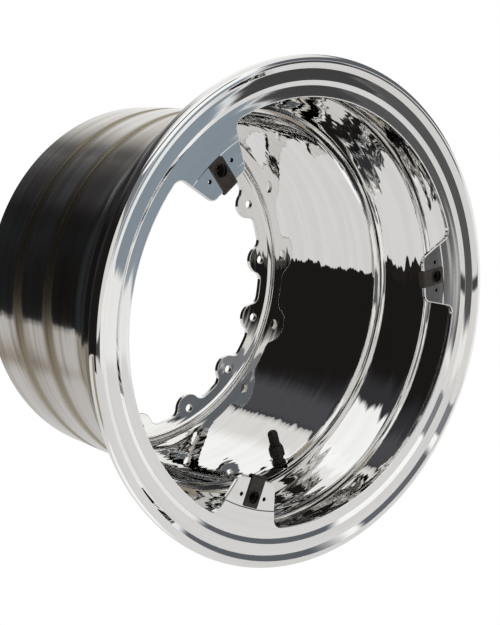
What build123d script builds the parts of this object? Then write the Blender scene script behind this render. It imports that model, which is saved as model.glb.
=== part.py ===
"""Forged racing wheel rim: the outer half of a three-piece wheel.

Frame, in millimetres: the wheel turns about Y, the open lip faces -Y and Z is up.
The origin is the centre of the bolt flange, on its mating face.
Depths called "s" run from the crest of the lip (s = 0) back to that face (s = DEPTH).
Radial parts are drawn pointing along +X and then turned to their angle about Y.
"""
from build123d import *
from math import acos, atan2, cos, degrees, hypot, radians, sin, sqrt, tan
import os

# Overall
DEPTH = 244.0            # lip crest to mating face: a nominal 9-inch half, 228.6 + lip
LIP_R = 206.5            # outside radius of the lip, 15-inch rim
LIP_ROUND = 5.0          # roll of the outer lip edge
LIP_BACK = 10.5          # s of the tyre side of the lip
BEAD_R = 190.0           # bead seat, 380 mm nominal
HUMP_R = 189.6
BARREL_R = 163.0         # outside of the barrel
WALL = 4.0
BARREL_IN_R = BARREL_R - WALL
SEAT_IN_R = 184.5        # inside wall behind the bead seat
CONE_FOOT_S = 86.0       # the cone joins the barrel and the bead seat here
CONE_TOP_S = 46.0
CONE_FOOT_ROUND = 34.0
CONE_TOP_ROUND = 20.0
GROOVES = ((137.0, 144.0), (185.0, 193.5))   # shallow bands turned round the barrel
GROOVE_DEPTH = 0.7
GROOVE_SIDE = 1.2

# Stepped front of the lip
CREST_R = 199.8
STEP_1_R = 196.0
STEP_1_S = 3.2
STEP_2_R = 186.6
STEP_2_S = 3.4

# Cover ring and its counterbore
RING_OUT_R = 182.8
RING_IN_R = 173.8
RING_S = 5.6             # front face of the ring
RING_T = 4.0
LEDGE_R = 178.5          # ledge the ring is pressed against
TAB_COUNT = 3
TAB_PHASE = 6.8          # angle of the first tab from +X towards +Z
TAB_END_R = 136.0
TAB_END_HALF = 19.6
TAB_SLOPE = 0.37         # half width gained per mm of radius
TAB_CORNER = 7.0
TAB_ROOT = 8.0
TAB_STEP_R = 160.3
TAB_STEP = 0.5           # the inner part of each tab is this much lower
TAB_STEP_RUN = 0.9
EDGE = 0.8               # rounding of the ring's sheet edges

# Bolt flange
EAR_COUNT = 15
EAR_PHASE = 2.8
BOLT_R = 144.0
BOLT_HOLE_R = 4.1
EAR_R = 14.2
EAR_ROOT = 8.0
VALLEY_R = 144.4
FLANGE_T = 4.7
FLANGE_FILLET = 5.5
FLANGE_EDGE = 0.6
PLATE_OVERLAP = 5.0      # how far the turned shell reaches in past the valleys

# Clips with their quarter-turn receptacles
CLIP_R = 150.9           # radius of the fastener centre
CLIP_W = 14.4
CLIP_T = 1.0
CLIP_END_R = 159.3
CLIP_BACK_EXTRA = 0.8    # the rear leaf is this much longer
CLIP_CORNER = 1.2
CLIP_HOLE_R = 5.2
COLLAR_WALL = 0.8
COLLAR_HEIGHT = 0.5
TAB_HOLE_R = 6.0
RIVET_HALF = 12.7        # rivet holes one inch apart
RIVET_R = 150.5
RIVET_HOLE_R = 1.65
CAGE_SIZE = 15.6
CAGE_CORNER = 2.0
CAGE_T = 0.8
FLOAT = 0.7
CUP_R = 4.9
CUP_BORE_R = 3.8
CUP_FLANGE_R = 6.0
CUP_FLANGE_T = 0.8
CUP_LENGTH = 9.0
CUP_FLOOR = 1.2
CUP_VENT_R = 2.2
WIRE_R = 0.8
WIRE_RISE = 3.0          # height of the cross wire above the end of the cup
SLIP = 0.05              # running clearance each side

# Valve: heights are measured inwards from the flat seat cut round the hole
VALVE_ANGLE = -74.2
VALVE_S = 92.5
VALVE_HOLE_R = 5.75
SEAT_STEP = 0.3          # the seat lies this far outside the barrel's inner wall
SEAT_R = 7.6
BACK_SEAT_R = 10.0
SEAL_FACE = -3.3         # the outer seat, under the grommet
GROMMET_LOW = -5.4
HEAD_LOW = -8.2
HEAD_R = 7.6
SHANK_R = 4.0
SHANK_TOP = 18.4
NECK_R = 3.85
BORE_R = 2.4
STEM_TOP = 25.8
PITCH = 0.794            # thread pitch of the cap
THREAD_LOW = 20.4
THREAD_TURNS = 6
THREAD_DEPTH = 0.3
WASHER_R = 6.6
WASHER_T = 1.2
NUT_COLLAR_R = 4.9
NUT_LOW = 6.0
NUT_TOP = 19.0
NUT_HALF = 6.5           # half the distance across the flats
NUT_CORNER_R = 7.7
NUT_CONE = (9.2, 13.4)   # the hexagon is full between these heights
NUT_TOP_R = 5.2
CAP_ROOF = 27.6          # inside top of the cap
CAP_TOP = 33.2
CAP_FOOT = 19.6
CAP_R = 4.6
CAP_CROWN = 3.6
CAP_BORE_R = NECK_R + 0.08
GRIP_COUNT = 18
GRIP_R = 0.4
GRIP_LENGTH = 7.0

# Valve core: heights measured down from the top of the stem
CORE_TOP = STEM_TOP - 1.0
CORE_LOW = STEM_TOP - 14.6
WELL_FLOOR = STEM_TOP - 13.0
WELL_R = 1.6
PIN_R = 0.7
PIN_TOP = STEM_TOP - 0.3
PIN_COLLAR = STEM_TOP - 4.2
PIN_COLLAR_T = 0.8
PIN_COLLAR_R = 1.5
PIN_FOOT = STEM_TOP - 16.0
PIN_FOOT_R = 1.9
SPRING_R = 1.2
SPRING_WIRE_R = 0.15
SPRING_PITCH = 1.03
SPRING_LENGTH = 8.24


def ring_y(s):
    """Y of a depth measured from the lip crest."""
    return s - DEPTH


def rounded_edges(points):
    """Edges of a closed outline from (x, y, corner radius) points."""
    count = len(points)
    corners = []
    for i in range(count):
        x, y, radius = points[i]
        if radius == 0:
            corners.append([(x, y)])
            continue
        px, py = points[i - 1][0] - x, points[i - 1][1] - y
        nx, ny = points[(i + 1) % count][0] - x, points[(i + 1) % count][1] - y
        pl, nl = hypot(px, py), hypot(nx, ny)
        px, py, nx, ny = px / pl, py / pl, nx / nl, ny / nl
        half = atan2(abs(px * ny - py * nx), px * nx + py * ny) / 2
        reach = radius / tan(half)
        bx, by = px + nx, py + ny
        bl = hypot(bx, by)
        out = radius / sin(half) - radius
        start = (x + px * reach, y + py * reach)
        middle = (x + bx / bl * out, y + by / bl * out)
        end = (x + nx * reach, y + ny * reach)
        corners.append([start, middle, end])
    edges = []
    for i in range(count):
        corner = corners[i]
        if len(corner) == 3:
            edges.append(ThreePointArc(*corner))
        last = corner[-1]
        first = corners[(i + 1) % count][0]
        if hypot(last[0] - first[0], last[1] - first[1]) > 1e-6:
            edges.append(Line(last, first))
    return edges


def turned(points):
    """Solid of revolution about Y from (radius, s, corner radius) points."""
    outline = [(r, ring_y(s), c) for r, s, c in points]
    return revolve(make_face(rounded_edges(outline)), axis=Axis.Y)


def lathe(points):
    """Solid of revolution about Z from (radius, height, corner radius) points."""
    face = make_face(rounded_edges(points))
    return revolve(Plane.XZ * face, axis=Axis.Z)


def plate(face, s_back, thickness):
    """Flat XZ outline as a plate whose back lies at s_back."""
    return extrude(Plane.XZ.offset(-ring_y(s_back)) * face, thickness)


def swing(part, angle):
    """Turn a part drawn along +X to its angle from +X towards +Z."""
    return Rot(0, -angle, 0) * part


def polar(r, angle):
    return (r * cos(radians(angle)), r * sin(radians(angle)))


def rod(radius, s_front, s_back, x, z):
    """Cylinder along Y between two depths."""
    length = s_back - s_front
    middle = ring_y((s_front + s_back) / 2)
    return Pos(x, middle, z) * Rot(90, 0, 0) * Cylinder(radius, length)


def block(x0, x1, s0, s1, half_width):
    """Box from two radii, two depths and a half width across."""
    centre = Pos((x0 + x1) / 2, ring_y((s0 + s1) / 2), 0)
    return centre * Box(x1 - x0, s1 - s0, 2 * half_width)


def rim_profile():
    """Section of the shell as (radius, s, corner radius) points, lip first."""
    points = [
        (CREST_R, 0.0, 0.9),
        (LIP_R, 0.0, LIP_ROUND),
        (LIP_R, LIP_BACK, 3.4),
        (BEAD_R, LIP_BACK, 6.0),
        (BEAD_R - 2.0, 38.0, 1.5),
        (HUMP_R, 41.5, 1.5),
        (HUMP_R - 0.6, 46.0, 5.0),
        (BARREL_R, CONE_FOOT_S + 2.0, CONE_FOOT_ROUND + WALL),
    ]
    for start, end in GROOVES:
        points.append((BARREL_R, start, 0))
        points.append((BARREL_R - GROOVE_DEPTH, start + GROOVE_SIDE, 0))
        points.append((BARREL_R - GROOVE_DEPTH, end - GROOVE_SIDE, 0))
        points.append((BARREL_R, end, 0))
    points += [
        (BARREL_R, DEPTH, 4.5),
        (VALLEY_R + PLATE_OVERLAP, DEPTH, 0),
        (VALLEY_R + PLATE_OVERLAP, DEPTH - FLANGE_T, 0),
        (BARREL_IN_R, DEPTH - FLANGE_T, FLANGE_FILLET),
        (BARREL_IN_R, CONE_FOOT_S, CONE_FOOT_ROUND),
        (SEAT_IN_R, CONE_TOP_S, CONE_TOP_ROUND),
        (SEAT_IN_R, 17.5, 2.5),
        (LEDGE_R, 14.5, 1.0),
        (LEDGE_R, RING_S + RING_T, 0),
        (RING_OUT_R, RING_S + RING_T, 0),
        (RING_OUT_R, RING_S, 0),
        (STEP_2_R, STEP_2_S, 0.8),
        (STEP_1_R, STEP_1_S, 0.8),
    ]
    return points


def ear_outline():
    """Inner edge of the flange: a scalloped loop with one ear at each bolt."""
    centre_r = VALLEY_R - EAR_ROOT
    reach = EAR_R + EAR_ROOT
    turn = degrees(acos((centre_r**2 + BOLT_R**2 - reach**2) / (2 * centre_r * BOLT_R)))
    fx, fz = polar(centre_r, turn)
    tip = (BOLT_R - EAR_R, 0)
    join = (
        BOLT_R + (fx - BOLT_R) * EAR_R / reach,
        fz * EAR_R / reach,
    )
    valley = polar(VALLEY_R, turn)
    inward = (join[0] - fx + valley[0] - fx, join[1] - fz + valley[1] - fz)
    size = hypot(*inward)
    bend = (fx + inward[0] / size * EAR_ROOT, fz + inward[1] / size * EAR_ROOT)
    edges = []
    step = 360 / EAR_COUNT
    for i in range(EAR_COUNT):
        angle = EAR_PHASE + i * step
        spin = Rot(0, 0, angle)
        edges.append(spin * ThreePointArc(mirrored(valley), mirrored(bend), mirrored(join)))
        edges.append(spin * ThreePointArc(mirrored(join), tip, join))
        edges.append(spin * ThreePointArc(join, bend, valley))
        start = polar(VALLEY_R, angle + turn)
        middle = polar(VALLEY_R, angle + step / 2)
        end = polar(VALLEY_R, angle + step - turn)
        edges.append(ThreePointArc(start, middle, end))
    return make_face(edges)


def mirrored(point):
    return (point[0], -point[1])


def edges_at(part, s, radius_limit):
    """Edges of a part lying flat at one depth, inside a radius."""
    found = []
    for edge in part.edges():
        box = edge.bounding_box()
        flat = abs(box.min.Y - ring_y(s)) < 1e-4 and abs(box.max.Y - ring_y(s)) < 1e-4
        middle = edge.position_at(0.5)
        if flat and hypot(middle.X, middle.Z) < radius_limit:
            found.append(edge)
    return found


def valve_place(part):
    """Put a part drawn along +Z, from the wall inwards, at the valve hole."""
    seat = BARREL_IN_R + SEAT_STEP
    return swing(Pos(seat, ring_y(VALVE_S), 0) * Rot(0, -90, 0) * part, VALVE_ANGLE)


def disc(radius, low, high):
    """Cylinder along the valve's axis between two heights."""
    return Pos(0, 0, (low + high) / 2) * Cylinder(radius, high - low)


def make_rim_shell():
    shell = turned(rim_profile())
    flange = plate(Circle(VALLEY_R + PLATE_OVERLAP + 3) - ear_outline(), DEPTH, FLANGE_T)
    edges = edges_at(flange, DEPTH, VALLEY_R + 1)
    edges += edges_at(flange, DEPTH - FLANGE_T, VALLEY_R + 1)
    shell = shell + fillet(edges, FLANGE_EDGE)
    for i in range(EAR_COUNT):
        x, z = polar(BOLT_R, EAR_PHASE + i * 360 / EAR_COUNT)
        shell = shell - rod(BOLT_HOLE_R, DEPTH - FLANGE_T - 1, DEPTH + 1, x, z)
    shell = shell - valve_place(disc(VALVE_HOLE_R, -8, 4))
    shell = shell - valve_place(disc(SEAT_R, 0, 3))
    shell = shell - valve_place(disc(BACK_SEAT_R, SEAL_FACE - 4, SEAL_FACE))
    return shell


def tab_outline():
    """Half of a tab's edge from its end to the ring, as points and tangent arcs."""
    size = sqrt(1 + TAB_SLOPE**2)
    normal = (-TAB_SLOPE / size, 1 / size)
    along = (1 / size, TAB_SLOPE / size)
    qx = TAB_END_R + TAB_ROOT * normal[0]
    qz = TAB_END_HALF + TAB_ROOT * normal[1]
    limit = RING_IN_R - TAB_ROOT
    dot = qx * along[0] + qz * along[1]
    go = -dot + sqrt(dot**2 - (qx**2 + qz**2 - limit**2))
    fx, fz = qx + go * along[0], qz + go * along[1]
    join = (fx - TAB_ROOT * normal[0], fz - TAB_ROOT * normal[1])
    end = (fx / limit * RING_IN_R, fz / limit * RING_IN_R)
    bx = join[0] - fx + end[0] - fx
    bz = join[1] - fz + end[1] - fz
    scale = TAB_ROOT / hypot(bx, bz)
    bend = (fx + bx * scale, fz + bz * scale)
    return join, bend, end


def ring_opening():
    """Inner edge of the cover ring with its three tabs."""
    join, bend, end = tab_outline()
    half_turn = degrees(atan2(end[1], end[0]))
    corner = [
        (join[0], -join[1], 0),
        (TAB_END_R, -TAB_END_HALF, TAB_CORNER),
        (TAB_END_R, TAB_END_HALF, TAB_CORNER),
        (join[0], join[1], 0),
    ]
    tab_edges = rounded_edges(corner)[:-1]
    edges = []
    step = 360 / TAB_COUNT
    for i in range(TAB_COUNT):
        angle = TAB_PHASE + i * step
        spin = Rot(0, 0, angle)
        edges.append(spin * ThreePointArc(mirrored(end), mirrored(bend), mirrored(join)))
        for edge in tab_edges:
            edges.append(spin * edge)
        edges.append(spin * ThreePointArc(join, bend, end))
        start = polar(RING_IN_R, angle + half_turn)
        middle = polar(RING_IN_R, angle + step / 2)
        finish = polar(RING_IN_R, angle + step - half_turn)
        edges.append(ThreePointArc(start, middle, finish))
    return make_face(edges)


def make_cover_ring():
    outline = Circle(RING_OUT_R) - ring_opening()
    low_s = RING_S + TAB_STEP
    back_s = RING_S + RING_T
    lower = plate(outline, back_s, RING_T - TAB_STEP)
    limit = RING_OUT_R - 2
    lower = fillet(edges_at(lower, low_s, limit) + edges_at(lower, back_s, limit), EDGE)
    upper = plate(outline, low_s + EDGE, TAB_STEP + EDGE)
    upper = fillet(edges_at(upper, RING_S, limit), EDGE)
    slope = TAB_STEP_RUN / TAB_STEP
    foot = TAB_STEP_R - TAB_STEP_RUN / 2
    inside = TAB_END_R - 10
    step_tool = turned([
        (inside, RING_S - 1, 0),
        (foot + slope * (TAB_STEP + 1), RING_S - 1, 0),
        (foot, low_s, 0),
        (foot, low_s + 1, 0),
        (inside, low_s + 1, 0),
    ])
    ring = lower + (upper - step_tool)
    for i in range(TAB_COUNT):
        angle = TAB_PHASE + i * 360 / TAB_COUNT
        ring = ring - swing(rod(TAB_HOLE_R, 0, 15, CLIP_R, 0), angle)
        for side in (-1, 1):
            hole = rod(RIVET_HOLE_R, 0, 15, RIVET_R, side * RIVET_HALF)
            ring = ring - swing(hole, angle)
    return ring


def make_clip():
    """Spring clip folded over the end of a tab, drawn at angle 0."""
    front = RING_S + TAB_STEP - SLIP
    back = RING_S + RING_T + SLIP
    bend_x = TAB_END_R - 0.1
    half = CLIP_W / 2
    inner_r = (back - front) / 2
    middle = (front + back) / 2
    leaf_a = block(bend_x, CLIP_END_R, front - CLIP_T, front, half)
    leaf_b = block(bend_x, CLIP_END_R + CLIP_BACK_EXTRA, back, back + CLIP_T, half)
    fold = rod_across(inner_r + CLIP_T, half, bend_x, middle)
    fold = fold - rod_across(inner_r, half + 1, bend_x, middle)
    fold = fold - block(bend_x, bend_x + 10, middle - 5, middle + 5, half + 1)
    clip = leaf_a + leaf_b + fold
    ends = clip.edges().filter_by(Axis.Y).filter_by(lambda e: e.center().X > CLIP_END_R - 1)
    clip = fillet(ends, CLIP_CORNER)
    face = front - CLIP_T
    collar = rod(CLIP_HOLE_R + COLLAR_WALL, face - COLLAR_HEIGHT, face, CLIP_R, 0)
    clip = clip + collar
    clip = clip - rod(CLIP_HOLE_R, front - 3, front + 0.5, CLIP_R, 0)
    clip = clip - rod(CUP_R + FLOAT, back - 0.5, back + 3, CLIP_R, 0)
    return clip


def rod_across(radius, half_width, x, s):
    """Cylinder along Z, across a tab."""
    return Pos(x, ring_y(s), 0) * Cylinder(radius, 2 * half_width)


def make_cage():
    """Pressed cage behind the clip that holds the receptacle with some float."""
    base = RING_S + RING_T + SLIP + CLIP_T
    pocket = CUP_FLANGE_T + 2 * SLIP
    half = CAGE_SIZE / 2
    cage = block(CLIP_R - half, CLIP_R + half, base, base + pocket + CAGE_T, half)
    cage = fillet(cage.edges().filter_by(Axis.Y), CAGE_CORNER)
    cage = cage - rod(CUP_FLANGE_R + FLOAT + SLIP, base - 1, base + pocket, CLIP_R, 0)
    cage = cage - rod(CUP_R + FLOAT + SLIP, base, base + 5, CLIP_R, 0)
    return cage


def make_receptacle():
    """Floating cup that takes the quarter-turn stud."""
    base = RING_S + RING_T + CLIP_T + 2 * SLIP
    flange = rod(CUP_FLANGE_R, base, base + CUP_FLANGE_T, CLIP_R, 0)
    cup = rod(CUP_R, base, base + CUP_LENGTH, CLIP_R, 0)
    cup = flange + chamfer(cup.edges().group_by(Axis.Y)[-1], 0.6)
    cup = cup - rod(CUP_BORE_R, base - 1, base + CUP_LENGTH - CUP_FLOOR, CLIP_R, 0)
    cup = cup - rod(CUP_VENT_R, base, base + CUP_LENGTH + 1, CLIP_R, 0)
    return cup - wire_rod(CUP_R + 1)


def wire_rod(half_length):
    s = RING_S + RING_T + CLIP_T + 2 * SLIP + CUP_LENGTH - WIRE_RISE
    return Pos(CLIP_R, ring_y(s), 0) * Cylinder(WIRE_R, 2 * half_length)


def make_wire():
    """Cross wire the stud hooks under."""
    wire = wire_rod(CUP_R - 0.1)
    return fillet(wire.edges(), 0.25)


def make_valve_stem():
    stem = lathe([
        (BORE_R, HEAD_LOW, 0),
        (HEAD_R, HEAD_LOW, 1.6),
        (HEAD_R, GROMMET_LOW, 0.4),
        (SHANK_R, GROMMET_LOW, 0),
        (SHANK_R, SHANK_TOP, 0.1),
        (NECK_R, SHANK_TOP + 0.6, 0),
        (NECK_R, STEM_TOP, 0.5),
        (BORE_R, STEM_TOP, 0),
    ])
    for i in range(THREAD_TURNS):
        stem = stem - thread_groove(NECK_R, THREAD_LOW + i * PITCH)
    return stem


def thread_groove(radius, height):
    """One shallow ring groove standing for a turn of thread."""
    return lathe([
        (radius - THREAD_DEPTH, height - 0.05, 0),
        (radius + 0.5, height - 0.35, 0),
        (radius + 0.5, height + 0.35, 0),
        (radius - THREAD_DEPTH, height + 0.05, 0),
    ])


def make_valve_grommet():
    return lathe([
        (SHANK_R, GROMMET_LOW, 0),
        (HEAD_R - 0.4, GROMMET_LOW, 0.6),
        (HEAD_R - 0.4, SEAL_FACE, 0.4),
        (VALVE_HOLE_R, SEAL_FACE, 0),
        (VALVE_HOLE_R, -0.4, 0.2),
        (SHANK_R, -0.4, 0),
    ])


def make_valve_washer():
    return lathe([
        (SHANK_R + 0.1, 0, 0),
        (WASHER_R, 0, 0.2),
        (WASHER_R, WASHER_T, 0.2),
        (SHANK_R + 0.1, WASHER_T, 0),
    ])


def make_valve_nut():
    """Hexagon between two cones, on a round collar."""
    collar = disc(NUT_COLLAR_R, WASHER_T, NUT_LOW + 1)
    hexagon = extrude(RegularPolygon(NUT_HALF, 6, major_radius=False), NUT_TOP - NUT_LOW)
    cones = lathe([
        (0, NUT_LOW, 0),
        (NUT_COLLAR_R, NUT_LOW, 0),
        (NUT_CORNER_R, NUT_CONE[0], 0),
        (NUT_CORNER_R, NUT_CONE[1], 0),
        (NUT_TOP_R, NUT_TOP, 0),
        (0, NUT_TOP, 0),
    ])
    nut = collar + (Pos(0, 0, NUT_LOW) * hexagon & cones)
    return nut - disc(SHANK_R, 0, NUT_TOP + 1)


def make_valve_core():
    """Core sleeve screwed into the stem, with a well for the spring."""
    return lathe([
        (PIN_R + 0.05, CORE_LOW, 0),
        (BORE_R, CORE_LOW, 0.2),
        (BORE_R, CORE_TOP, 0.2),
        (WELL_R, CORE_TOP, 0),
        (WELL_R, WELL_FLOOR, 0),
        (PIN_R + 0.05, WELL_FLOOR, 0),
    ])


def make_valve_core_pin():
    return lathe([
        (0, PIN_FOOT, 0),
        (PIN_FOOT_R, PIN_FOOT, 0.2),
        (PIN_FOOT_R, CORE_LOW, 0),
        (PIN_R, CORE_LOW, 0),
        (PIN_R, PIN_COLLAR, 0),
        (PIN_COLLAR_R, PIN_COLLAR, 0),
        (PIN_COLLAR_R, PIN_COLLAR + PIN_COLLAR_T, 0),
        (PIN_R, PIN_COLLAR + PIN_COLLAR_T, 0),
        (PIN_R, PIN_TOP, 0.2),
        (0, PIN_TOP, 0),
    ])


def make_valve_core_spring():
    """Coil between the floor of the well and the pin's collar."""
    helix = Helix(pitch=SPRING_PITCH, height=SPRING_LENGTH, radius=SPRING_R)
    gap = PIN_COLLAR - WELL_FLOOR - SPRING_LENGTH
    path = Pos(0, 0, WELL_FLOOR + gap / 2) * helix
    wire = Plane(origin=path @ 0, z_dir=path % 0) * Circle(SPRING_WIRE_R)
    return sweep(wire, path=path, is_frenet=True)


def make_valve_cap():
    cap = lathe([
        (0, CAP_ROOF, 0),
        (CAP_BORE_R, CAP_ROOF, 0),
        (CAP_BORE_R, CAP_FOOT, 0.2),
        (CAP_R, CAP_FOOT, 0.3),
        (CAP_R, CAP_TOP, CAP_CROWN),
        (0, CAP_TOP, 0),
    ])
    for i in range(GRIP_COUNT):
        x, y = polar(CAP_R + 0.15, i * 360 / GRIP_COUNT)
        grip = Pos(x, y, 0) * disc(GRIP_R, CAP_FOOT + 1.2, CAP_FOOT + 1.2 + GRIP_LENGTH)
        cap = cap - grip
    return cap


def make_valve_cap_seal():
    return lathe([
        (0, STEM_TOP + SLIP, 0),
        (NECK_R - 0.1, STEM_TOP + SLIP, 0.2),
        (NECK_R - 0.1, CAP_ROOF - SLIP, 0),
        (0, CAP_ROOF - SLIP, 0),
    ])


def main():
    os.makedirs("parts", exist_ok=True)
    nodes = {
        "rim_shell": make_rim_shell(),
        "cover_ring": make_cover_ring(),
        "valve_stem": valve_place(make_valve_stem()),
        "valve_grommet": valve_place(make_valve_grommet()),
        "valve_washer": valve_place(make_valve_washer()),
        "valve_nut": valve_place(make_valve_nut()),
        "valve_core": valve_place(make_valve_core()),
        "valve_core_pin": valve_place(make_valve_core_pin()),
        "valve_core_spring": valve_place(make_valve_core_spring()),
        "valve_cap": valve_place(make_valve_cap()),
        "valve_cap_seal": valve_place(make_valve_cap_seal()),
    }
    for i in range(TAB_COUNT):
        angle = TAB_PHASE + i * 360 / TAB_COUNT
        nodes["cover_clip_%d" % (i + 1)] = swing(make_clip(), angle)
        nodes["receptacle_cage_%d" % (i + 1)] = swing(make_cage(), angle)
        nodes["receptacle_%d" % (i + 1)] = swing(make_receptacle(), angle)
        nodes["receptacle_wire_%d" % (i + 1)] = swing(make_wire(), angle)
    for name, part in nodes.items():
        export_step(part, "parts/%s.step" % name)
        print(name, "volume %.1f" % part.volume, "valid", part.is_valid)


main()
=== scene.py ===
"""Looks of the forged racing wheel rim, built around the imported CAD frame.

The wheel turns about Y, its open lip faces -Y and Z is up.
Section points are in millimetres as (radius, s, corner radius): s runs back from the crest of the lip.
"""
from math import acos, asin, atan2, cos, hypot, pi, radians, sin, sqrt, tan

import bpy
import numpy as np
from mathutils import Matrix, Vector
from mathutils.geometry import delaunay_2d_cdt


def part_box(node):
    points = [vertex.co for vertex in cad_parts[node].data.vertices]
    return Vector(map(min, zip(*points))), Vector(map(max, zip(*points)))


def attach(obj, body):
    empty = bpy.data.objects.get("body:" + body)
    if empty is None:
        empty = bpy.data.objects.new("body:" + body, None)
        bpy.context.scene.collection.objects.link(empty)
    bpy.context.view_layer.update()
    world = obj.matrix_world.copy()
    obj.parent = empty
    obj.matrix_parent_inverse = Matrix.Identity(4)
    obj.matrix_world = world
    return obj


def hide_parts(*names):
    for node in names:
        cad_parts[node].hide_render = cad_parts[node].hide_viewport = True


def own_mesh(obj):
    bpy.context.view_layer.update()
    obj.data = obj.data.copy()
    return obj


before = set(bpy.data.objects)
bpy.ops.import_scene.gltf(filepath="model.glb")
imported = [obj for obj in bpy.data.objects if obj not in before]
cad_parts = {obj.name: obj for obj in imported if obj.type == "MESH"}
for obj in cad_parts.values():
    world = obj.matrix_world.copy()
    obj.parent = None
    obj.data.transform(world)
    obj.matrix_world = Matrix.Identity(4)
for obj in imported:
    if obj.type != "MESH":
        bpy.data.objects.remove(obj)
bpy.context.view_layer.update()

MM = 0.001

# Main sizes, read from the frame
RIM_LOW, RIM_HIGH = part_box("rim_shell")
DEPTH = (RIM_HIGH.y - RIM_LOW.y) / MM
LIP_R = RIM_HIGH.x / MM

# Section of the shell: R is a radius, S a depth, ROUND a corner's radius
LIP_ROUND = 5.0
LIP_BACK = 10.5
BEAD_R = 190.0
BEAD_END_S = 38.0
HUMP_R = 189.6
HUMP_S = 41.5
HUMP_END_S = 46.0
BARREL_R = 163.0
BARREL_IN_R = 159.0
SEAT_IN_R = 184.5
WALL = BARREL_R - BARREL_IN_R
CONE_FOOT_S, CONE_FOOT_ROUND = 86.0, 34.0
CONE_TOP_S, CONE_TOP_ROUND = 46.0, 20.0
GROOVES = ((137.0, 144.0), (185.0, 193.5))
GROOVE_DEPTH = 0.7
GROOVE_SLOPE = 1.2
GROOVE_ROUND = 0.4
CREST_R = 199.8
CREST_FLAT = 0.5
STEP_1_R, STEP_1_S = 196.0, 3.2
STEP_2_R, STEP_2_S = 186.6, 3.4
RING_OUT_R = 182.8
RING_S = 5.6
RING_T = 4.0
LEDGE_R = 178.5
LEDGE_S = 14.5
SEAT_FOOT_S = 17.5

# Bolt flange
FLANGE_T = 4.7
FLANGE_FILLET = 5.5
EAR_COUNT = 15
EAR_PHASE = 2.8
BOLT_R = 144.0
BOLT_HOLE_R = 4.1
EAR_R = 14.2
EAR_ROOT = 8.0
VALLEY_R = 144.4
PLATE_R = 149.4
EDGE_BREAK = 0.6
HOLE_BREAK = 0.3
EAR_STEPS, ROOT_STEPS, VALLEY_STEPS = 16, 9, 4
BOLT_HOLE_SIDES = 32

# Valve hole
VALVE_ANGLE = -74.2
VALVE_S = 92.5
VALVE_HOLE_R = 5.75
SEAT_HEIGHT_R = 159.3
BACK_HEIGHT_R = 162.6
SPOT_IN_R = 7.6
SPOT_OUT_R = 10.0
SPOT_SIDES = 64
SPOT_MARGIN = 0.6
# Patch of wall that is left open for the hole: its rows and half its width in columns
WINDOW_START_S = 79.5
WINDOW_END_S = VALVE_S + 12.0
WINDOW_MAX_R = 171.0
HALF_WINDOW = 5
NEAR_VALVE_S = (60.0, 120.0)

# Spring in the valve core: a coil whose lowest turn is this far above the valve seat
SPRING_LOW = 13.08
SPRING_R = 1.2
SPRING_WIRE_R = 0.15
SPRING_PITCH = 1.03
SPRING_TURNS = 8
SPRING_STEPS, SPRING_SIDES = 24, 8

# Tabs of the cover ring
TAB_COUNT = 3
TAB_PHASE = 6.8
RIVET_R = 150.5
RIVET_HALF = 12.7
RIVET_HOLE_R = 1.65

# Columns of the shell's mesh, and the smallest length (mm) that counts
SEGMENTS = 360
TINY = 1e-6

# Studio, in metres
FLOOR_HALF = 3.0
FLOOR_GAP = 0.0005
CAMERA_PLACE = (-0.6315, -0.9284, 0.1813)
CAMERA_FORWARD = (0.6249, 0.7580, -0.1870)
CAMERA_LENS, CAMERA_SENSOR = 68.186, 36.0

# Turned finish. Noise is drawn out round the wheel: this many repeats in a metre
DRAWN_OUT = 6.0
# The waves grow on the cone and towards the flange and fade on the lip:
# (start s, end s, share before, share after)
CONE_SHARE = (80, 104, 2.4, 1.0)
LIP_SHARE = (12, 20, 0.2, 1.0)
END_SHARE = (180, 215, 1.0, 2.0)
# Pitch of the changes of tone in mm
TONE_PITCH = 9.0
# Browner band at a groove, a painted reflection: where it ends and where it is full, in mm from the groove's
# middle
GROOVE_BAND_FAR, GROOVE_BAND_NEAR = 12, 3
GROOVE_ROUGHNESS = 0.34
# Finish inside a hole, in mm: softness of its edge, and how far past a rivet hole it reaches. The bolt holes
# keep a drilled finish; the rivet holes are painted shade.
HOLE_SOFT = 0.05
RIVET_SHADE = 0.1

# Finish of the small parts: size of its patches in grains, height of its bump in mm
PATCH_SIZE = 6
BUMP_DISTANCE = 0.1


# ---------------------------------------------------------------- mesh helpers

def rounded(points, step=radians(6)):
    """Rows along an open outline of (r, s, corner radius) points.

    Each row is (r, s, normal_r, normal_s): a sharp corner gives two rows at one place.
    """
    rows = []
    count = len(points)
    for i, (r, s, radius) in enumerate(points):
        before = points[i - 1] if i else None
        after = points[i + 1] if i + 1 < count else None
        if before:
            dr, ds = r - before[0], s - before[1]
            size = hypot(dr, ds)
            into = (dr / size, ds / size)
        if after:
            dr, ds = after[0] - r, after[1] - s
            size = hypot(dr, ds)
            away = (dr / size, ds / size)
        if not before:
            rows.append((r, s, away[1], -away[0]))
            continue
        if not after:
            rows.append((r, s, into[1], -into[0]))
            continue
        cross = into[0] * away[1] - into[1] * away[0]
        turn = atan2(cross, into[0] * away[0] + into[1] * away[1])
        if radius == 0 or abs(turn) < TINY:
            rows.append((r, s, into[1], -into[0]))
            if abs(turn) > TINY:
                rows.append((r, s, away[1], -away[0]))
            continue
        reach = radius * tan(abs(turn) / 2)
        side = 1 if turn > 0 else -1
        start = (r - into[0] * reach, s - into[1] * reach)
        centre = (start[0] - side * into[1] * radius, start[1] + side * into[0] * radius)
        steps = max(2, round(abs(turn) / step))
        for k in range(steps + 1):
            a = turn * k / steps
            tr = into[0] * cos(a) - into[1] * sin(a)
            ts = into[0] * sin(a) + into[1] * cos(a)
            rows.append((centre[0] + side * ts * radius, centre[1] - side * tr * radius, ts, -tr))
    return rows


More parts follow.
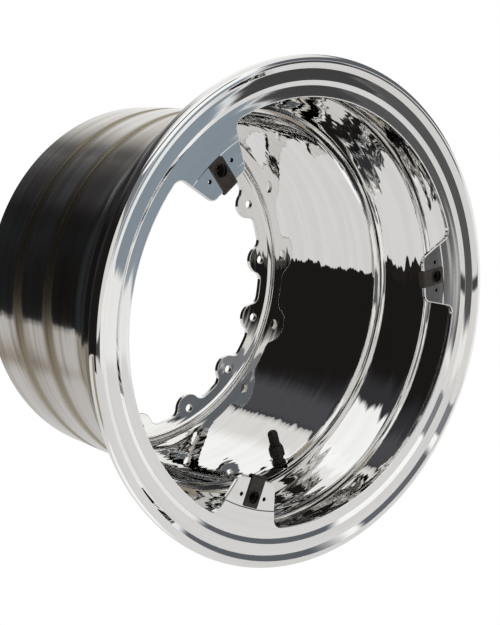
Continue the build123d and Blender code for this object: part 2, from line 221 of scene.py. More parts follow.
class Shell:
    """Vertices, faces, face-corner normals and material numbers of a mesh being built."""

    def __init__(self):
        self.verts = []
        self.faces = []
        self.normals = []
        self.slots = []
        self.index = {}

    def vert(self, point):
        """Number of the vertex at this place, shared by all who ask for it."""
        key = tuple(round(c, 4) for c in point)
        if key not in self.index:
            self.index[key] = len(self.verts)
            self.verts.append(point)
        return self.index[key]

    def face(self, points, normals, slot=0):
        """Adds a face, less the corners that fall on the one before; a face with no area is left out."""
        numbers = [self.vert(p) for p in points]
        kept = [k for k in range(len(numbers)) if numbers[k] != numbers[k - 1]]
        if len(kept) < 3:
            return
        self.faces.append([numbers[k] for k in kept])
        self.normals.extend(normals[k] for k in kept)
        self.slots.append(slot)

    def build(self, name, materials, body, cad_node):
        """Makes the piece that rides on a body and stands for a CAD node."""
        mesh = bpy.data.meshes.new(name)
        mesh.from_pydata([[c * MM for c in v] for v in self.verts], [], self.faces)
        for material in materials:
            mesh.materials.append(material)
        mesh.polygons.foreach_set("material_index", self.slots)
        mesh.polygons.foreach_set("use_smooth", [True] * len(self.faces))
        mesh.update()
        mesh.normals_split_custom_set(self.normals)
        piece = bpy.data.objects.new(name, mesh)
        bpy.context.scene.collection.objects.link(piece)
        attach(piece, body)
        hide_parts(cad_node)
        return piece


def spun(r, s, angle):
    """Point of the section turned to an angle (radians) about the wheel's axis."""
    return (r * cos(angle), s - DEPTH, r * sin(angle))


def spun_normal(nr, ns, angle):
    """Normal of the section turned in the same way."""
    return (nr * cos(angle), ns, nr * sin(angle))


# ---------------------------------------------------------------- rim shell

def outer_section():
    """Tyre side, from the crest of the lip to the mating face."""
    points = [
        (CREST_R + CREST_FLAT, 0.0, 0),
        (LIP_R, 0.0, LIP_ROUND),
        (LIP_R, LIP_BACK, 3.4),
        (BEAD_R, LIP_BACK, 6.0),
        (BEAD_R - 2.0, BEAD_END_S, 1.5),
        (HUMP_R, HUMP_S, 1.5),
        (HUMP_R - 0.6, HUMP_END_S, 5.0),
        (BARREL_R, CONE_FOOT_S + 2.0, CONE_FOOT_ROUND + WALL),
        (BARREL_R, WINDOW_END_S, 0),
    ]
    floor_r = BARREL_R - GROOVE_DEPTH
    for start, end in GROOVES:
        points.append((BARREL_R, start, GROOVE_ROUND))
        points.append((floor_r, start + GROOVE_SLOPE, GROOVE_ROUND))
        points.append((floor_r, end - GROOVE_SLOPE, GROOVE_ROUND))
        points.append((BARREL_R, end, GROOVE_ROUND))
    points.append((BARREL_R, DEPTH, 4.5))
    points.append((PLATE_R, DEPTH, 0))
    return points


def inner_section():
    """Open side, from the flange forward to the crest of the lip."""
    return [
        (PLATE_R, DEPTH - FLANGE_T, 0),
        (BARREL_IN_R, DEPTH - FLANGE_T, FLANGE_FILLET),
        (BARREL_IN_R, WINDOW_END_S, 0),
        (BARREL_IN_R, CONE_FOOT_S, CONE_FOOT_ROUND),
        (SEAT_IN_R, CONE_TOP_S, CONE_TOP_ROUND),
        (SEAT_IN_R, SEAT_FOOT_S, 2.5),
        (LEDGE_R, LEDGE_S, 1.0),
        (LEDGE_R, RING_S + RING_T, 0.25),
        (RING_OUT_R, RING_S + RING_T, 0),
        (RING_OUT_R, RING_S, 0.3),
        (STEP_2_R, STEP_2_S, 0.8),
        (STEP_1_R, STEP_1_S, 0.8),
        (CREST_R, 0.0, 0.9),
        (CREST_R + CREST_FLAT, 0.0, 0),
    ]


def ear_outline(inset):
    """One sector of the scalloped edge, as (x, z, normal_x, normal_z) with the bolt on +X."""
    centre_r = VALLEY_R - EAR_ROOT
    reach = EAR_R + EAR_ROOT
    turn = acos((centre_r**2 + BOLT_R**2 - reach**2) / (2 * centre_r * BOLT_R))
    fx, fz = centre_r * cos(turn), centre_r * sin(turn)
    join = atan2(fz, fx - BOLT_R)
    half = []
    for k in range(EAR_STEPS + 1):
        a = pi + (join - pi) * k / EAR_STEPS
        radius = EAR_R - inset
        half.append((BOLT_R + radius * cos(a), radius * sin(a), cos(a), sin(a)))
    start, end = join - pi, turn
    for k in range(1, ROOT_STEPS + 1):
        a = start + (end - start) * k / ROOT_STEPS
        radius = EAR_ROOT + inset
        half.append((fx + radius * cos(a), fz + radius * sin(a), -cos(a), -sin(a)))
    sector = pi / EAR_COUNT
    radius = VALLEY_R + inset
    for k in range(1, VALLEY_STEPS):
        a = turn + (sector - turn) * k / VALLEY_STEPS
        half.append((radius * cos(a), radius * sin(a), -cos(a), -sin(a)))
    middle = [(radius * cos(sector), radius * sin(sector), -cos(sector), -sin(sector))]
    mirrored = [(x, -z, nx, -nz) for x, z, nx, nz in reversed(half[1:])]
    return mirrored + half + middle


def turned_2d(x, z, angle):
    """The pair (x, z) turned by an angle (radians)."""
    return (x * cos(angle) - z * sin(angle), x * sin(angle) + z * cos(angle))


def flange_loop(inset):
    """The whole scalloped edge as (x, z, normal_x, normal_z)."""
    loop = []
    sector = ear_outline(inset)
    for i in range(EAR_COUNT):
        angle = radians(EAR_PHASE + i * 360 / EAR_COUNT)
        for x, z, nx, nz in sector:
            loop.append(turned_2d(x, z, angle) + turned_2d(nx, nz, angle))
    return loop


def edge_rows(front, back, size, steps=3):
    """Rounded sheet edge from front to back as (inset, s, outward share, axial share)."""
    rows = []
    for k in range(steps + 1):
        a = pi / 2 * k / steps
        rows.append((size * (1 - sin(a)), front + size * (1 - cos(a)), sin(a), -cos(a)))
    for k in range(steps + 1):
        a = pi / 2 * (1 - k / steps)
        rows.append((size * (1 - sin(a)), back - size * (1 - cos(a)), sin(a), cos(a)))
    return rows


def wall_of_loops(shell, loops, slot):
    """Quads between successive loops of (point, normal)."""
    for a, b in zip(loops, loops[1:]):
        count = len(a)
        for k in range(count):
            m = (k + 1) % count
            quad = (a[k], b[k], b[m], a[m])
            shell.face([q[0] for q in quad], [q[1] for q in quad], slot)


def filled(verts, edges):
    """Triangles between outlines, with the given points kept exactly."""
    flat, _, triangles, origins, _, _ = delaunay_2d_cdt([Vector(v) for v in verts], edges, [], 1, 1e-5)
    return [verts[o[0]] if o else tuple(v) for v, o in zip(flat, origins)], triangles


def turn_of(corners):
    """Twice the signed area of a triangle of (x, y) corners."""
    (ax, ay), (bx, by), (cx, cy) = corners
    return (bx - ax) * (cy - ay) - (by - ay) * (cx - ax)


def add_flange(shell, slot):
    """Scalloped plate with its bolt holes, from the edge in to PLATE_R."""
    front, back = DEPTH - FLANGE_T, DEPTH
    loops = []
    for inset, s, out, axial in edge_rows(front, back, EDGE_BREAK):
        row = []
        for x, z, nx, nz in flange_loop(inset):
            row.append(((x, s - DEPTH, z), (nx * out, axial, nz * out)))
        loops.append(row)
    wall_of_loops(shell, [list(reversed(row)) for row in loops], slot)
    holes = []
    sides = BOLT_HOLE_SIDES
    for i in range(EAR_COUNT):
        angle = radians(EAR_PHASE + i * 360 / EAR_COUNT)
        cx, cz = BOLT_R * cos(angle), BOLT_R * sin(angle)
        rows = []
        for inset, s, out, axial in edge_rows(front, back, HOLE_BREAK, 2):
            radius = BOLT_HOLE_R + inset
            row = []
            for k in range(sides):
                a = 2 * pi * k / sides
                point = (cx + radius * cos(a), s - DEPTH, cz + radius * sin(a))
                row.append((point, (-cos(a) * out, axial, -sin(a) * out)))
            rows.append(row)
        wall_of_loops(shell, [list(reversed(row)) for row in rows], slot)
        holes.append((cx, cz, rows[0]))
    edge = [(p[0], p[2]) for p, _ in loops[0]]
    rim = [(PLATE_R * cos(a), PLATE_R * sin(a)) for a in columns()]
    verts = rim + edge
    edges = [(k, (k + 1) % len(rim)) for k in range(len(rim))]
    base = len(rim)
    edges += [(base + k, base + (k + 1) % len(edge)) for k in range(len(edge))]
    for _, _, row in holes:
        base = len(verts)
        verts += [(p[0], p[2]) for p, _ in row]
        edges += [(base + k, base + (k + 1) % sides) for k in range(sides)]
    flat, triangles = filled(verts, edges)
    limit = edge_limit(EDGE_BREAK)
    for triangle in triangles:
        corners = [flat[k] for k in triangle]
        mx = sum(c[0] for c in corners) / 3
        mz = sum(c[1] for c in corners) / 3
        if hypot(mx, mz) < limit(atan2(mz, mx)):
            continue
        if min(hypot(mx - cx, mz - cz) for cx, cz, _ in holes) < BOLT_HOLE_R + HOLE_BREAK:
            continue
        if turn_of(corners) < 0:
            corners.reverse()
        shell.face([(x, front - DEPTH, z) for x, z in corners], [(0, -1, 0)] * 3, slot)
        corners.reverse()
        shell.face([(x, back - DEPTH, z) for x, z in corners], [(0, 1, 0)] * 3, slot)


def edge_limit(inset):
    """Radius of the scalloped edge at an angle."""
    sector = ear_outline(inset)
    angles = [atan2(z, x) for x, z, _, _ in sector]
    radii = [hypot(x, z) for x, z, _, _ in sector]
    pitch = 2 * pi / EAR_COUNT
    angles = [angles[-1] - pitch] + angles
    radii = [radii[-1]] + radii

    def limit(angle):
        local = (angle - radians(EAR_PHASE) + pitch / 2) % pitch - pitch / 2
        return float(np.interp(local, angles, radii))

    return limit


def columns():
    """Angles of the mesh columns, with one at the valve."""
    return [radians(VALVE_ANGLE) + 2 * pi * k / SEGMENTS for k in range(SEGMENTS)]


def surface_at(rows, s):
    """Radius and normal of one side of the section at a depth near the valve."""
    low, high = NEAR_VALVE_S
    near = [row for row in rows if low < row[1] < high]
    near.sort(key=lambda row: row[1])
    depths = [row[1] for row in near]
    return [float(np.interp(s, depths, [row[k] for row in near])) for k in (0, 2, 3)]


def add_lathe(shell, rows, slot_of, window):
    """Turns a section into quads and leaves a window of columns open at the valve."""
    angles = columns()
    open_rows, open_columns = window
    for i in range(len(rows) - 1):
        a, b = rows[i], rows[i + 1]
        if hypot(a[0] - b[0], a[1] - b[1]) < TINY:
            continue
        in_window = open_rows[0] <= min(a[1], b[1]) + TINY and max(a[1], b[1]) <= open_rows[1] + TINY
        slot = slot_of((a[1] + b[1]) / 2)
        for j in range(SEGMENTS):
            if in_window and (j + open_columns) % SEGMENTS < 2 * open_columns:
                continue
            p, q = angles[j], angles[(j + 1) % SEGMENTS]
            points = [spun(a[0], a[1], p), spun(b[0], b[1], p), spun(b[0], b[1], q), spun(a[0], a[1], q)]
            normals = [
                spun_normal(a[2], a[3], p),
                spun_normal(b[2], b[3], p),
                spun_normal(b[2], b[3], q),
                spun_normal(a[2], a[3], q),
            ]
            shell.face(points, normals, slot)


def valve_frame(across, along, r):
    """Point at a height r on the valve's own axis, offset across (tangential) and along the wheel's axis."""
    x, z = turned_2d(r, across, radians(VALVE_ANGLE))
    return (x, VALVE_S + along - DEPTH, z)


def add_valve_window(shell, rows, window, spot_r, seat_r, facing, slot):
    """Fills the open window round the valve: the wall, its spot face and the flat seat.

    facing is 1 for the tyre side and -1 for the open side. The loop at the mouth of the hole is given back.
    """
    (low, high), open_columns = window
    step = 2 * pi / SEGMENTS
    depths = sorted({round(row[1], 6) for row in rows if low - TINY <= row[1] <= high + TINY})
    sides = SPOT_SIDES
    verts = []
    grid = {}
    for i, s in enumerate(depths):
        r = surface_at(rows, s)[0]
        for j in range(-open_columns, open_columns + 1):
            border = i in (0, len(depths) - 1) or abs(j) == open_columns
            if border or hypot(r * sin(j * step), s - VALVE_S) > spot_r + SPOT_MARGIN:
                grid[i, j] = len(verts)
                verts.append((j * step * r, s))
    last = len(depths) - 1
    ring = [(0, j) for j in range(-open_columns, open_columns)]
    ring += [(i, open_columns) for i in range(last)]
    ring += [(last, j) for j in range(open_columns, -open_columns, -1)]
    ring += [(i, -open_columns) for i in range(last, 0, -1)]
    edges = [(grid[ring[k]], grid[ring[(k + 1) % len(ring)]]) for k in range(len(ring))]
    base = len(verts)
    for k in range(sides):
        a = 2 * pi * k / sides
        s = VALVE_S + spot_r * sin(a)
        r = surface_at(rows, s)[0]
        verts.append((r * asin(spot_r * cos(a) / r), s))
    edges += [(base + k, base + (k + 1) % sides) for k in range(sides)]
    flat, triangles = filled(verts, edges)
    for triangle in triangles:
        corners = [flat[k] for k in triangle]
        across = sum(c[0] for c in corners) / 3
        depth = sum(c[1] for c in corners) / 3
        r = surface_at(rows, depth)[0]
        if hypot(r * sin(across / r), depth - VALVE_S) < spot_r * cos(pi / sides) - 0.02:
            continue
        if turn_of(corners) * facing > 0:
            corners.reverse()
        points, normals = [], []
        for across, depth in corners:
            r, nr, ns = surface_at(rows, depth)
            angle = radians(VALVE_ANGLE) + across / r
            points.append(spun(r, depth, angle))
            normals.append(spun_normal(nr, ns, angle))
        shell.face(points, normals, slot)
    rise, seat, mouth = [], [], []
    up = turned_2d(facing, 0, radians(VALVE_ANGLE))
    for k in range(sides):
        a = 2 * pi * k / sides
        across, along = spot_r * cos(a), spot_r * sin(a)
        wall_r = sqrt(surface_at(rows, VALVE_S + along)[0] ** 2 - across**2)
        side = turned_2d(0, -cos(a), radians(VALVE_ANGLE))
        inward = (side[0], -sin(a), side[1])
        rise.append((valve_frame(across, along, wall_r), inward))
        seat.append((valve_frame(across, along, seat_r), inward))
        hole = (VALVE_HOLE_R * cos(a), VALVE_HOLE_R * sin(a))
        mouth.append((valve_frame(*hole, seat_r), inward))
    flat_up = (up[0], 0, up[1])
    level = [[(p, flat_up) for p, _ in loop] for loop in (seat, mouth)]
    for loops in ([rise, seat], level):
        if facing < 0:
            loops = [list(reversed(loop)) for loop in loops]
        wall_of_loops(shell, loops, slot)
    return mouth


def window_start(rows):
    """Depth of the first row of the window on one side of the section."""
    return min(row[1] for row in rows if row[1] > WINDOW_START_S and row[0] < WINDOW_MAX_R)


def make_rim(materials):
    """The shell of the rim as one mesh; materials are the polished and the turned one."""
    polished, turned = 0, 1
    shell = Shell()
    outer = rounded(outer_section())
    inner = rounded(inner_section())
    outer_window = ((window_start(outer), WINDOW_END_S), HALF_WINDOW + 1)
    inner_window = ((window_start(inner), WINDOW_END_S), HALF_WINDOW)
    add_lathe(shell, outer, lambda s: turned if s > LIP_BACK else polished, outer_window)
    add_lathe(shell, inner, lambda s: polished, inner_window)
    mouth_out = add_valve_window(shell, outer, outer_window, SPOT_OUT_R, BACK_HEIGHT_R, 1, turned)
    mouth_in = add_valve_window(shell, inner, inner_window, SPOT_IN_R, SEAT_HEIGHT_R, -1, polished)
    wall_of_loops(shell, [mouth_out, mouth_in], polished)
    add_flange(shell, polished)
    shell.build("forged_rim_shell", materials, "rim", "rim_shell")


def make_core_spring(material):
    """Coil that shortens when the pin of the valve core is pressed."""
    angle = radians(VALVE_ANGLE)
    steps, sides = SPRING_STEPS, SPRING_SIDES
    rise = SPRING_PITCH / (2 * pi)
    slope = hypot(SPRING_R, rise)
    rings = []
    for k in range(SPRING_TURNS * steps + 1):
        a = 2 * pi * k / steps
        out = Vector((cos(a), sin(a), 0))
        tangent = Vector((-SPRING_R * sin(a), SPRING_R * cos(a), -rise)) / slope
        across = tangent.cross(out)
        middle = out * SPRING_R + Vector((0, 0, SEAT_HEIGHT_R - SPRING_LOW - rise * a))
        ring = []
        for j in range(sides):
            b = 2 * pi * j / sides
            way = out * cos(b) + across * sin(b)
            point = middle + way * SPRING_WIRE_R
            nx, nz = turned_2d(way.z, way.x, angle)
            ring.append((valve_frame(*point), (nx, way.y, nz)))
        rings.append(ring)
    shell = Shell()
    wall_of_loops(shell, rings, 0)
    lean = rise / SPRING_R
    for ring, way in ((rings[0], Vector((0, -1, lean))), (rings[-1][::-1], Vector((0, 1, -lean)))):
        nx, nz = turned_2d(way.z, way.x, angle)
        shell.face([p for p, _ in ring], [(nx, way.y, nz)] * sides)
    spring = shell.build("core_spring_coil", [material], "rim", "valve_core_spring")
    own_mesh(spring)


# ---------------------------------------------------------------- node helpers

def srgb(red, green, blue):
    """Linear colour from 0-255 display values."""
    values = []
    for c in (red, green, blue):
        c = c / 255
        values.append(c / 12.92 if c <= 0.04045 else ((c + 0.055) / 1.055) ** 2.4)
    return (*values, 1)


class Graph:
    """Short way to write a node tree: sockets or plain values go in, sockets come out."""

    def __init__(self, tree):
        self.tree = tree
        self.tree.nodes.clear()

    def node(self, kind, inputs=(), **settings):
        node = self.tree.nodes.new(kind)
        for key, value in settings.items():
            setattr(node, key, value)
        for key, value in dict(inputs).items():
            if isinstance(value, bpy.types.NodeSocket):
                self.tree.links.new(value, node.inputs[key])
            else:
                node.inputs[key].default_value = value
        return node

    def math(self, operation, *values):
        return self.node("ShaderNodeMath", dict(enumerate(values)), operation=operation).outputs[0]

    def span(self, value, low, high, out_low=0.0, out_high=1.0, smooth=True):
        """Value mapped from low..high to out_low..out_high and held outside."""
        kind = "SMOOTHSTEP" if smooth else "LINEAR"
        ends = {0: value, 1: low, 2: high, 3: out_low, 4: out_high}
        return self.node("ShaderNodeMapRange", ends, interpolation_type=kind).outputs[0]

    def vector(self, operation, *values, out=0, scale=None):
        ends = dict(enumerate(values))
        if scale is not None:
            ends["Scale"] = scale
        return self.node("ShaderNodeVectorMath", ends, operation=operation).outputs[out]

    def mix(self, factor, first, second):
        ends = {0: factor, 6: first, 7: second}
        return self.node("ShaderNodeMix", ends, data_type="RGBA").outputs[2]


# ---------------------------------------------------------------- studio

OPEN_SKY = (238, 238, 238)
# Each zone of the studio: colour; centre, half width and softness of its azimuth;
# lowest elevation and its softness; highest elevation and its softness; slope of both with azimuth.
# Azimuth 0 is towards -Y and grows towards +X; all are degrees. Later zones cover earlier ones.
STUDIO = [
    ((217, 216, 216), 0, 181, 0.5, -91, 1, -13.2, 0.4, 0),  # table
    ((250, 250, 250), 151, 29.5, 0.6, -14, 2, 60, 10, 0),  # backdrop
    ((222, 221, 219), 172, 12, 5, 20, 6, 53, 3, 0),  # backdrop side
    ((28, 26, 25), -107.5, 72.5, 0.7, -13.2, 0.35, 68, 18, 0),  # room
    ((52, 52, 56), -106, 71, 4, 38, 6, 62, 6, 0),  # room haze
    ((74, 74, 78), -169, 11, 5, 24, 8, 56, 3, 0),  # room grey
    ((112, 112, 114), 176, 8, 7, 18, 6, 37, 1, 0),  # room shoulder
    ((46, 49, 53), 184, 24, 6, -14.5, 0.5, 19, 9, 0),  # room low
    ((34, 30, 28), -68, 16, 4, -18.8, 0.4, -12, 1, 0),  # room foot
    ((154, 145, 133), -106, 22, 5, -38, 3, -13.6, 0.5, 0),  # floor shade
    ((170, 163, 153), -172, 13, 4, -28, 2, -13.4, 0.4, 0),  # table shade
    ((252, 252, 252), -132, 50, 8, -80, 4, -45, 2, 0),  # floor white
    ((250, 250, 250), -44, 18, 3, 51, 2, 80, 5, 0),  # side softbox
    ((222, 220, 217), -4, 32, 3, -9, 1, 40, 1, 0),  # window
    ((255, 255, 255), 8, 33, 4, 15.8, 1, 80, 5, -0.62),  # softbox
    ((100, 104, 110), -4, 32, 3, 34, 1.5, 47, 1.5, 0),  # overhead bar
    ((126, 128, 132), -6, 34, 4, 12.5, 1, 24.5, 1, -0.62),  # window frame
    ((72, 70, 68), -12, 31, 4, -13.5, 1, -9.5, 1, 0),  # window line
    ((94, 98, 104), 80, 44, 3, 7.5, 1.5, 41, 4, 0),  # dark screen
    ((243, 243, 243), 75, 22, 3, -27, 2, -2, 1.5, 0),  # white card
    ((134, 145, 155), 36.3, 3.4, 0.4, -9.5, 0.3, 3, 0.4, 0),  # blue card
    ((66, 66, 68), 42.3, 2.2, 0.3, -6, 0.5, 4, 0.5, 0),  # dark card
    ((86, 86, 88), 47, 2.7, 0.3, -11, 0.6, 1, 0.6, -0.6),  # grey card
]


def make_world():
    """Zones of light and dark to be reflected, with plain white behind the wheel for the camera."""
    world = bpy.data.worlds.new("studio")
    bpy.context.scene.world = world
    world.use_nodes = True
    g = Graph(world.node_tree)
    direction = g.node("ShaderNodeTexCoord").outputs["Generated"]
    axes = g.node("ShaderNodeSeparateXYZ", {0: direction}).outputs
    azimuth = g.math("DEGREES", g.math("ARCTAN2", axes[0], g.math("MULTIPLY", axes[1], -1.0)))
    elevation = g.math("DEGREES", g.math("ARCSINE", axes[2]))
    colour = srgb(*OPEN_SKY)
    for shade, centre, half, soft, low, soft_low, high, soft_high, slope in STUDIO:
        offset = g.math("WRAP", g.math("SUBTRACT", azimuth, float(centre)), 180.0, -180.0)
        side = g.span(g.math("ABSOLUTE", offset), half + soft, half - soft)
        level = g.math("SUBTRACT", elevation, g.math("MULTIPLY", offset, float(slope)))
        above = g.span(level, low - soft_low, low + soft_low)
        below = g.span(level, high + soft_high, high - soft_high)
        mask = g.math("MULTIPLY", side, g.math("MULTIPLY", above, below))
        colour = g.mix(mask, colour, srgb(*shade))
    studio = g.node("ShaderNodeBackground", {0: colour, 1: 1.0}).outputs[0]
    white = g.node("ShaderNodeBackground", {0: (1, 1, 1, 1), 1: 1.0}).outputs[0]
    seen = g.node("ShaderNodeLightPath").outputs["Is Camera Ray"]
    both = g.node("ShaderNodeMixShader", {0: seen, 1: studio, 2: white}).outputs[0]
    g.node("ShaderNodeOutputWorld", {0: both})


def make_floor():
    """Plain white floor under the wheel, clear from below; it leaves the reflections alone."""
    mesh = bpy.data.meshes.new("studio_floor")
    low = RIM_LOW.z - FLOOR_GAP
    corners = [(FLOOR_HALF * x, FLOOR_HALF * y, low) for x, y in ((-1, -1), (1, -1), (1, 1), (-1, 1))]
    mesh.from_pydata(corners, [], [(0, 1, 2, 3)])
    floor = bpy.data.objects.new("studio_floor", mesh)
    bpy.context.scene.collection.objects.link(floor)
    floor.visible_glossy = False
    floor.visible_diffuse = False
    floor.visible_shadow = False
    material = bpy.data.materials.new("studio_white")
    material.use_nodes = True
    g = Graph(material.node_tree)
    glow = g.node("ShaderNodeEmission", {0: (1, 1, 1, 1), 1: 1.0}).outputs[0]
    clear = g.node("ShaderNodeBsdfTransparent").outputs[0]
    below = g.node("ShaderNodeNewGeometry").outputs["Backfacing"]
    surface = g.node("ShaderNodeMixShader", {0: below, 1: glow, 2: clear}).outputs[0]
    g.node("ShaderNodeOutputMaterial", {0: surface})
    mesh.materials.append(material)


def make_camera():
    data = bpy.data.cameras.new("camera")
    data.sensor_width = CAMERA_SENSOR
    data.lens = CAMERA_LENS
    camera = bpy.data.objects.new("camera", data)
    bpy.context.scene.collection.objects.link(camera)
    camera.location = CAMERA_PLACE
    forward = Vector(CAMERA_FORWARD).normalized()
    camera.rotation_mode = "QUATERNION"
    camera.rotation_quaternion = forward.to_track_quat("-Z", "Y")
    bpy.context.scene.camera = camera


# ---------------------------------------------------------------- materials

def wheel_axes(g):
    """Sockets of a point: place, radius, normal, and the ways round the wheel and along the section."""
    place = g.node("ShaderNodeTexCoord").outputs["Object"]
    axes = g.node("ShaderNodeSeparateXYZ", {0: place}).outputs
    flat = g.node("ShaderNodeCombineXYZ", {0: axes[0], 1: 0.0, 2: axes[2]}).outputs[0]
    radius = g.vector("LENGTH", flat, out="Value")
    normal = g.node("ShaderNodeNewGeometry").outputs["Normal"]
    around = g.vector("NORMALIZE", g.vector("CROSS_PRODUCT", (0, 1, 0), flat))
    along = g.vector("CROSS_PRODUCT", normal, around)
    return axes, radius, normal, around, along


def ring_noise(g, axes, radius, pitch):
    """Noise that repeats about every pitch (mm) across the section and is drawn out round the wheel."""
    fine = 1 / (pitch * MM)
    where = g.node("ShaderNodeCombineXYZ", {
        0: g.math("MULTIPLY", axes[0], DRAWN_OUT),
        1: g.math("MULTIPLY", axes[1], fine),
        2: g.math("MULTIPLY", axes[2], DRAWN_OUT),
    }).outputs[0]
    depth = g.math("MULTIPLY", radius, fine)
    ends = {"Vector": where, "W": depth, "Scale": 1.0, "Detail": 1.0, "Roughness": 0.55}
    colour = g.node("ShaderNodeTexNoise", ends, noise_dimensions="4D").outputs["Color"]
    return g.node("ShaderNodeSeparateColor", {0: colour}).outputs


def hole_mask(g, axes, holes):
    """1 at the holes that repeat round the wheel: (count, first angle, radius, half spacing, reach) in mm."""
    count, first, radius, half, reach = holes
    sector = 2 * pi / count
    angle = g.math("SUBTRACT", g.math("ARCTAN2", axes[2], axes[0]), radians(first))
    angle = g.math("WRAP", angle, sector / 2, -sector / 2)
    far = g.math("SQRT", g.math("ADD", g.math("POWER", axes[0], 2.0), g.math("POWER", axes[2], 2.0)))
    out = g.math("SUBTRACT", g.math("MULTIPLY", far, g.math("COSINE", angle)), radius * MM)
    side = g.math("ABSOLUTE", g.math("MULTIPLY", far, g.math("SINE", angle)))
    side = g.math("SUBTRACT", side, half * MM)
    gap = g.math("SQRT", g.math("ADD", g.math("POWER", out, 2.0), g.math("POWER", side, 2.0)))
    return g.span(gap, (reach + HOLE_SOFT) * MM, (reach - HOLE_SOFT) * MM)


def share(g, axes, fade):
    """Strength that changes along the wheel's axis: (start s, end s, share before, share after)."""
    start, end, before, after = fade
    return g.span(axes[1], (start - DEPTH) * MM, (end - DEPTH) * MM, before, after)


def turned_metal(name, tones, roughness, waves, lines, holes, hole_finish_and_shade, groove_painted_reflection=None):
    """Turned aluminium: long waves and fine tool lines run round the wheel, holes have their own tone: a
    drilled finish in the bolt holes, painted shade in the rivet holes.

    waves and lines are (pitch in mm, lean along the section, lean round the wheel).
    The hole finish is (tone, roughness); for the rivet holes its tone is painted shade.
    """
    material = bpy.data.materials.new(name)
    material.use_nodes = True
    g = Graph(material.node_tree)
    axes, radius, normal, around, along = wheel_axes(g)
    leaning = normal
    cone, lip, end = (share(g, axes, fade) for fade in (CONE_SHARE, LIP_SHARE, END_SHARE))
    strength = g.math("MULTIPLY", g.math("MULTIPLY", cone, end), lip)
    for pitch, lean_along, lean_round in (waves, lines):
        noise = ring_noise(g, axes, radius, pitch)
        for way, lean, channel in ((along, lean_along, 0), (around, lean_round, 1)):
            amount = g.math("MULTIPLY", g.math("SUBTRACT", noise[channel], 0.5), lean)
            amount = g.math("MULTIPLY", amount, strength)
            leaning = g.vector("ADD", leaning, g.vector("SCALE", way, scale=amount))
    leaning = g.vector("NORMALIZE", leaning)
    tone = ring_noise(g, axes, radius, TONE_PITCH)
    colour = g.mix(g.span(tone[0], 0.35, 0.65), srgb(*tones[0]), srgb(*tones[1]))
    gloss = g.span(tone[1], 0.3, 0.7, roughness[0], roughness[1])
    # Painted reflection: a browner band round each groove of the barrel.
    if groove_painted_reflection:
        for start, end in GROOVES:
            middle = g.math("SUBTRACT", axes[1], ((start + end) / 2 - DEPTH) * MM)
            band = g.span(g.math("ABSOLUTE", middle), GROOVE_BAND_FAR * MM, GROOVE_BAND_NEAR * MM)
            colour = g.mix(band, colour, srgb(*groove_painted_reflection))
            gloss = g.span(band, 0.0, 1.0, gloss, GROOVE_ROUGHNESS)
    hole = hole_mask(g, axes, holes)
    # Painted shade where the holes are rivet holes; the bolt holes get their own drilled finish.
    hole_tone_and_shade, hole_roughness = hole_finish_and_shade
    colour = g.mix(hole, colour, srgb(*hole_tone_and_shade))
    gloss = g.span(hole, 0.0, 1.0, gloss, hole_roughness, smooth=False)
    inputs = {"Base Color": colour, "Metallic": 1.0, "Roughness": gloss, "Normal": leaning}
    bsdf = g.node("ShaderNodeBsdfPrincipled", inputs).outputs[0]
    g.node("ShaderNodeOutputMaterial", {0: bsdf})
    return material


def coated(name, tones, metallic, roughness, grain, bump):
    """Small dark or plain parts: two tones in a fine grain (mm), with gloss and bump that follow it."""
    material = bpy.data.materials.new(name)
    material.use_nodes = True
    g = Graph(material.node_tree)
    place = g.node("ShaderNodeTexCoord").outputs["Object"]
    noise = {"Vector": place, "Scale": 1 / (grain * MM), "Detail": 3.0, "Roughness": 0.6}
    fine = g.node("ShaderNodeTexNoise", noise).outputs["Fac"]
    noise["Scale"] = 1 / (PATCH_SIZE * grain * MM)
    patches = g.node("ShaderNodeTexNoise", noise).outputs["Fac"]
    both = g.math("MULTIPLY", g.math("ADD", fine, patches), 0.5)
    colour = g.mix(g.span(both, 0.35, 0.65), srgb(*tones[0]), srgb(*tones[1]))
    gloss = g.span(patches, 0.3, 0.7, roughness[0], roughness[1])
    relief = {"Height": fine, "Strength": bump, "Distance": BUMP_DISTANCE * MM}
    normal = g.node("ShaderNodeBump", relief).outputs[0]
    inputs = {"Base Color": colour, "Metallic": metallic, "Roughness": gloss, "Normal": normal}
    bsdf = g.node("ShaderNodeBsdfPrincipled", inputs).outputs[0]
    g.node("ShaderNodeOutputMaterial", {0: bsdf})
    return material


make_camera()
make_world()
make_floor()
bpy.context.scene.view_settings.view_transform = "Standard"

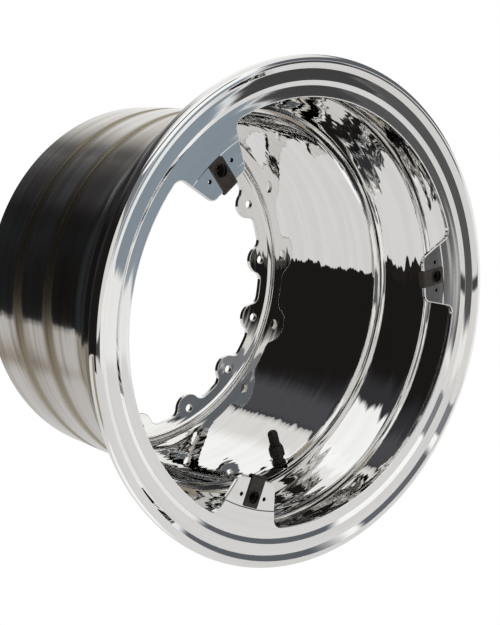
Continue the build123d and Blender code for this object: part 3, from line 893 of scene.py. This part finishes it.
bolt_holes = (EAR_COUNT, EAR_PHASE, BOLT_R, 0.0, BOLT_HOLE_R + HOLE_BREAK / 2)
rivet_holes = (TAB_COUNT, TAB_PHASE, RIVET_R, RIVET_HALF, RIVET_HOLE_R + RIVET_SHADE)
bolt_hole_finish = ((205, 200, 192), 0.38)
# Painted shade: the rivet holes of the cover ring are painted near black.
rivet_hole_painted_shade = ((30, 28, 27), 0.7)
bright_tones = ((247, 247, 246), (242, 241, 238))
satin_tones = ((208, 205, 200), (178, 172, 163))
# Painted reflection: the brownish tone of the bands round the grooves.
painted_groove_reflection_tone = (158, 148, 128)
waves, lines = (4.5, 0.025, 0.07), (1.0, 0.006, 0.01)
satin_waves, satin_lines = (9.0, 0.03, 0.03), (1.2, 0.012, 0.012)
polished = turned_metal(
    "polished_alloy_finish", bright_tones, (0.01, 0.03), waves, lines, bolt_holes, bolt_hole_finish)
# The cover ring, polished, with painted shade in its rivet holes.
ring_finish_and_hole_shade = turned_metal(
    "polished_ring_finish", bright_tones, (0.03, 0.06), waves, lines, rivet_holes, rivet_hole_painted_shade)
turned = turned_metal(
    "turned_alloy_finish", satin_tones, (0.07, 0.12), satin_waves, satin_lines, bolt_holes,
    bolt_hole_finish, painted_groove_reflection_tone)

# Finish of the small parts by the start of their names: name, two tones, metallic, roughness, grain, bump
COATINGS = {
    "valve_grommet": ("black_rubber", ((26, 25, 24), (36, 34, 32)), 0.0, (0.55, 0.75), 0.5, 0.4),
    "valve_cap_seal": ("seal_rubber", ((22, 21, 21), (30, 29, 28)), 0.0, (0.5, 0.7), 0.4, 0.3),
    "valve_core": ("core_brass", ((214, 184, 122), (184, 148, 88)), 1.0, (0.22, 0.4), 0.5, 0.2),
    "valve_core_spring": ("spring_steel", ((172, 170, 168), (132, 128, 124)), 1.0, (0.2, 0.36), 0.4, 0.2),
    "valve": ("black_anodised", ((34, 30, 27), (48, 42, 38)), 0.35, (0.42, 0.6), 0.6, 0.35),
    "receptacle_wire": ("cross_wire", ((120, 116, 110), (84, 79, 73)), 1.0, (0.24, 0.4), 0.4, 0.2),
    "receptacle": ("black_oxide", ((26, 24, 22), (40, 36, 33)), 0.5, (0.4, 0.58), 0.6, 0.35),
    "cover_clip": ("brown_oxide", ((46, 41, 36), (72, 65, 58)), 0.5, (0.34, 0.5), 0.8, 0.35),
}
finishes = {kind: coated(name + "_finish", *rest) for kind, (name, *rest) in COATINGS.items()}
finishes["cover_ring"] = ring_finish_and_hole_shade
make_rim([polished, turned])
make_core_spring(finishes["valve_core_spring"])
for name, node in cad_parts.items():
    kinds = [kind for kind in finishes if name.startswith(kind)]
    if kinds:
        node.data.materials[0] = finishes[max(kinds, key=len)]
